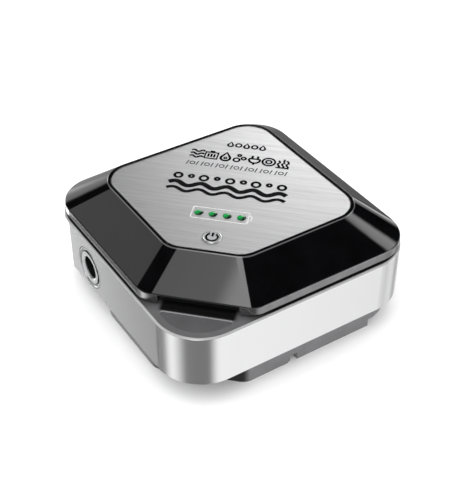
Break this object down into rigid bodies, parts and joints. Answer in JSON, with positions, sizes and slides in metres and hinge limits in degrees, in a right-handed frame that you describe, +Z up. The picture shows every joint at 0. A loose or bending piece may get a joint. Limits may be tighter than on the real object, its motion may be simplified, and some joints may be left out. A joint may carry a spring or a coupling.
{
  "type": "aquarium air pump",
  "caption": "Square battery-backed diaphragm air pump: metal waist band, faceted gloss cover with a brushed face plate, power button, charge lamps and recessed ports.",
  "frame": {"origin": "centre of the square footprint, on the surface the rubber feet stand on", "axes": "+Z up; the flat-cut front corner of the cover is towards -X -Y; the power socket is on the -X side and the air outlet on the +X side"},
  "size_m": [0.096, 0.096, 0.0456],
  "materials": {
    "silver_band": "satin",
    "brushed_silver": "brushed",
    "port_silver": "satin",
    "button_silver": "metallic paint",
    "gloss_black": "piano black",
    "deck_grey": "satin",
    "base_grey": "fine texture",
    "foot_rubber": "matte",
    "black_rubber": "matte",
    "green_lens": "clear gloss",
    "felt": "felt",
    "inner_black": "moulded",
    "frame_plastic": "moulded",
    "lever_plastic": "glass-filled",
    "white_plastic": "moulded",
    "board_green": "solder mask",
    "chip_black": "moulded",
    "capacitor_sleeve": "shrink sleeve",
    "cell_sleeve": "shrink sleeve",
    "contact_metal": "nickel plated",
    "screw_steel": "zinc plated",
    "core_steel": "laminated",
    "copper_wire": "enamelled",
    "magnet": "nickel plated",
    "soft_silicone": "translucent",
    "lead_red": "insulation"
  },
  "bodies": {
    "case": {"rubber_feet": "foot_rubber", "base_pan": "base_grey", "filter_cap": "base_grey", "intake_felt": "felt", "mid_shell": "deck_grey", "side_band": "silver_band", "top_cover": "gloss_black", "face_plate": "brushed_silver", "case_screws": "screw_steel", "cover_screws": "screw_steel", "switch_body": "chip_black", "led_1": "green_lens", "led_2": "green_lens", "led_3": "green_lens", "led_4": "green_lens", "control_board": "board_green", "board_screws": "screw_steel", "driver_chip": "chip_black", "charge_chip": "chip_black", "smoothing_capacitor": "capacitor_sleeve", "boost_inductor": "chip_black", "lead_headers": "white_plastic", "jack_bezel": "port_silver", "dc_jack": "inner_black", "jack_pin": "contact_metal", "jack_contact": "contact_metal", "jack_leads": "lead_red", "outlet_bezel": "port_silver", "outlet_nozzle": "inner_black", "outlet_hose": "soft_silicone", "battery_cell": "cell_sleeve", "battery_tabs": "contact_metal", "battery_cradle": "inner_black", "battery_strap": "inner_black", "battery_screws": "screw_steel", "battery_leads": "lead_red", "pump_frame": "frame_plastic", "frame_grommets": "foot_rubber", "frame_screws": "screw_steel", "core_laminations": "core_steel", "core_screws": "screw_steel", "coil_bobbin": "white_plastic", "coil_winding": "copper_wire", "coil_leads": "lead_red", "hinge_pin": "screw_steel", "diaphragm": "black_rubber", "clamp_plate": "frame_plastic", "chamber_body": "frame_plastic", "valve_plate": "white_plastic", "valve_gasket": "black_rubber", "gallery_cap": "frame_plastic", "chamber_screws": "screw_steel"},
    "power_button": {"power_button": "button_silver"},
    "switch_plunger": {"switch_plunger": "white_plastic"},
    "armature": {"armature_lever": "lever_plastic", "armature_magnet": "magnet", "diaphragm_plate": "contact_metal", "diaphragm_screw": "screw_steel"},
    "inlet_valve": {"inlet_valve": "soft_silicone"},
    "outlet_valve": {"outlet_valve": "soft_silicone"}
  },
  "joints": [
    {"name": "button_press", "type": "slide", "parent": "case", "child": "power_button", "axis": [0, 0, -1], "range_m": [0, 0.0003], "stiffness_N_per_m": 1500},
    {"name": "plunger_press", "type": "slide", "parent": "case", "child": "switch_plunger", "axis": [0, 0, -1], "range_m": [0, 0.0003]},
    {"name": "armature_swing", "type": "hinge", "parent": "case", "child": "armature", "pos_m": [-0.006, -0.009, 0.0214], "axis": [0, 0, 1], "range_deg": [-3, 3], "stiffness_Nm_per_rad": 0.4, "deforming": ["diaphragm"]},
    {"name": "inlet_valve_lift", "type": "slide", "parent": "case", "child": "inlet_valve", "axis": [-1, 0, 0], "range_m": [0, 0.0006], "stiffness_N_per_m": 10},
    {"name": "outlet_valve_lift", "type": "slide", "parent": "case", "child": "outlet_valve", "axis": [1, 0, 0], "range_m": [0, 0.0006], "stiffness_N_per_m": 10}
  ],
  "couplings": [
    {"joint": "plunger_press", "follows": "button_press", "ratio": 1}
  ]
}
